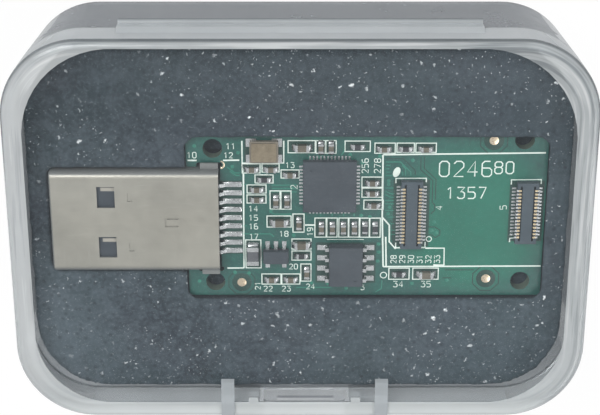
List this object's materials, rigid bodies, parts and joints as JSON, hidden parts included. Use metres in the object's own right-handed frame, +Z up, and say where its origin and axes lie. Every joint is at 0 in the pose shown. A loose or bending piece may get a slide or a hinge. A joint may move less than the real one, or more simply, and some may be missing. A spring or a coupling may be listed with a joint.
{
  "type": "usb microcontroller programmer",
  "caption": "Green circuit board with a long rectangular plug, chips and two small headers, lying in dark foam inside a hinged clear plastic case.",
  "frame": {"origin": "middle of the flat underside of the case, where it rests", "axes": "+X along the case, away from the plug's mouth; +Y towards the hinge; +Z up through the lid"},
  "size_m": [0.065, 0.0466, 0.0203],
  "materials": {
    "clear_plastic": "clear moulded polypropylene, slightly frosted",
    "foam": "fine closed-cell foam with light specks",
    "board": "green solder mask",
    "nickel": "satin nickel plate",
    "tin": "bright tin plate",
    "ceramic": "matt",
    "chip_black": "fine moulded texture",
    "capacitor_tan": "matt",
    "ferrite": "matt",
    "dark_plastic": "fine matt"
  },
  "bodies": {
    "case": {"case_base": "clear_plastic", "living_hinge": "clear_plastic", "foam_insert": "foam", "circuit_board": "board", "plug_shell": "nickel", "plug_insulator": "dark_plastic", "plug_contacts": "tin", "crystal_lands": "tin", "crystal_can": "ceramic", "crystal_lid": "nickel", "controller_body": "chip_black", "controller_pads": "tin", "memory_body": "chip_black", "memory_leads": "tin", "regulator_body": "chip_black", "regulator_leads": "tin", "capacitor_bodies": "capacitor_tan", "capacitor_ends": "tin", "resistor_bodies": "chip_black", "resistor_ends": "tin", "ferrite_bead": "ferrite", "ferrite_ends": "tin", "header_a_housing": "dark_plastic", "header_a_contacts": "tin", "header_b_housing": "dark_plastic", "header_b_contacts": "tin"},
    "lid": {"case_lid": "clear_plastic"}
  },
  "joints": [
    {"name": "lid_hinge", "type": "hinge", "parent": "case", "child": "lid", "pos_m": [0, 0.02305, 0.01405], "axis": [-1, 0, 0], "range_deg": [0, 180], "deforming": ["living_hinge"]}
  ]
}
